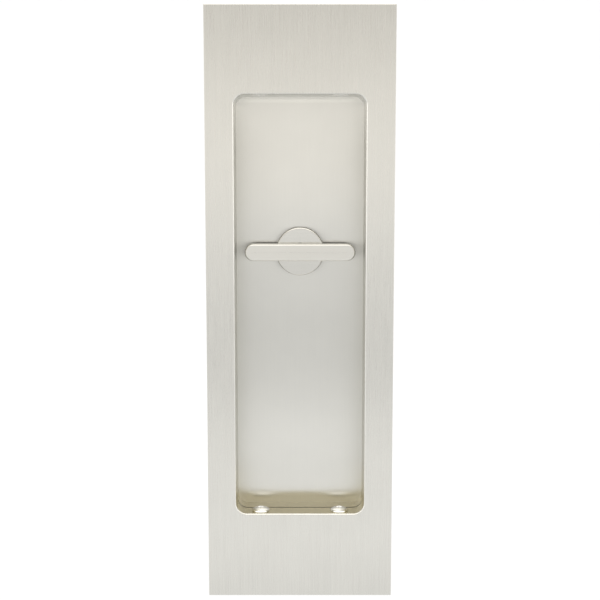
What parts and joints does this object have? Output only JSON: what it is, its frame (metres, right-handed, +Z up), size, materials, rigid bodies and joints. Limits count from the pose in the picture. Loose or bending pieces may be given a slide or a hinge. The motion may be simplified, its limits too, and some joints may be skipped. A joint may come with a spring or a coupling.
{
  "type": "pocket door lock",
  "caption": "Flush pocket door lock: brushed rectangular plate with a finger recess, a bar thumb turn on a disc and a mortise case whose toothed hub swings a hook bolt.",
  "frame": {"origin": "centre of the face plate in height and width, on the plane where the mounting frame meets the face of the door", "axes": "+X towards the door's edge, where the hook comes out; +Y into the door, so the plate's front looks along -Y; +Z up"},
  "size_m": [0.0699, 0.0385, 0.2222],
  "materials": {
    "satin_steel": "satin, brushed along the height",
    "satin_turn": "satin with bright bevels",
    "satin_forend": "satin, brushed along the height",
    "bright_screw": "polished",
    "zinc_steel": "bright zinc",
    "case_steel": "rolled sheet, zinc plated",
    "hard_steel": "hardened and nickel plated",
    "bearing_brass": "turned",
    "spring_steel": "blued spring steel"
  },
  "bodies": {
    "lockset": {"face_plate": "satin_steel", "recess_cup": "satin_steel", "mount_frame": "zinc_steel", "frame_screws": "zinc_steel", "lower_trim_screws": "bright_screw", "upper_trim_screws": "bright_screw", "turn_bush": "bearing_brass", "trim_posts": "hard_steel", "post_nuts": "zinc_steel", "lock_case": "case_steel", "case_cover": "case_steel", "case_pillars": "zinc_steel", "cover_screws": "zinc_steel", "forend": "satin_forend", "forend_screws": "bright_screw", "hook_pin": "hard_steel", "hook_spacers": "bearing_brass", "stop_pins": "hard_steel", "spring_pins": "hard_steel", "detent_spring": "spring_steel"},
    "turn": {"turn_bar": "satin_turn", "turn_disc": "satin_turn", "bar_pin": "hard_steel", "spindle": "hard_steel", "thrust_washer": "bearing_brass", "spindle_clip": "spring_steel", "hub": "bearing_brass"},
    "hook": {"hook_bolt": "hard_steel"}
  },
  "joints": [
    {"name": "turn_swivel", "type": "hinge", "parent": "lockset", "child": "turn", "pos_m": [0, 0.022, 0.0206], "axis": [0, 1, 0], "range_deg": [0, 90], "deforming": ["detent_spring"]},
    {"name": "hook_swing", "type": "hinge", "parent": "lockset", "child": "hook", "pos_m": [0.024, 0.022, 0.0206], "axis": [0, 1, 0], "range_deg": [-90, 0]}
  ],
  "couplings": [
    {"joint": "hook_swing", "follows": "turn_swivel", "ratio": -1}
  ]
}
